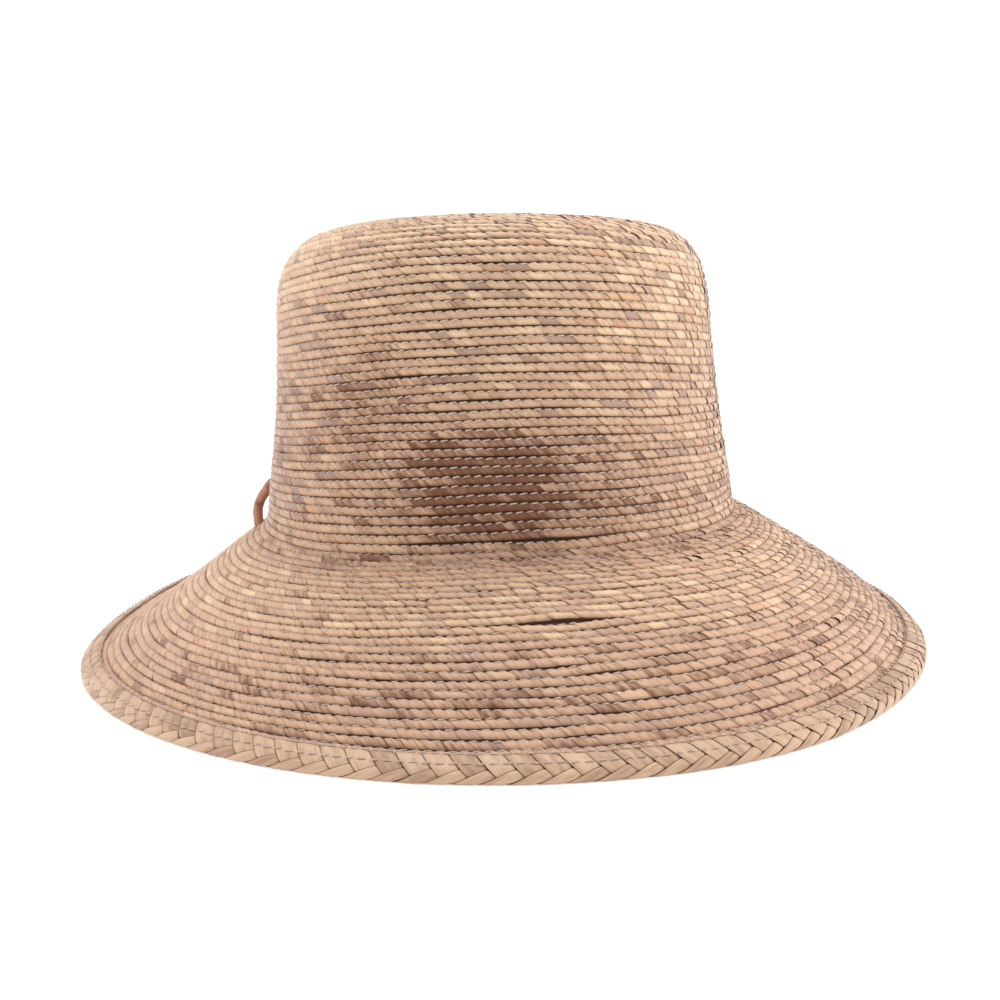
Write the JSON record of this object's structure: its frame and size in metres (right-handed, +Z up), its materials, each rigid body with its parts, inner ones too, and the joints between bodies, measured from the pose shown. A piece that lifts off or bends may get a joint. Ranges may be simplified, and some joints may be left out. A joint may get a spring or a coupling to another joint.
{
  "type": "straw sun hat",
  "caption": "Oval straw sun hat with a flat-topped crown, a wide sloping brim, a plaited edge and a small leather lace loop at one side.",
  "frame": {"origin": "middle of the hat's plan, in the plane of the rim's lower edge", "axes": "+X to the side without the lace loop, +Y to the back, +Z up along the crown"},
  "size_m": [0.3112, 0.346, 0.1535],
  "materials": {
    "crown_straw": "sewn rows of toasted palm-leaf braid, matt with a slight leaf sheen",
    "brim_straw": "sewn rows of palm-leaf braid, matt with a slight leaf sheen",
    "rim_straw": "wide herringbone plait of pale palm leaf, smooth",
    "lace_leather": "red-brown leather lace, dull"
  },
  "bodies": {
    "root": {"crown": "crown_straw", "brim": "brim_straw", "rim_braid": "rim_straw", "leather_loop": "lace_leather"}
  },
  "joints": []
}
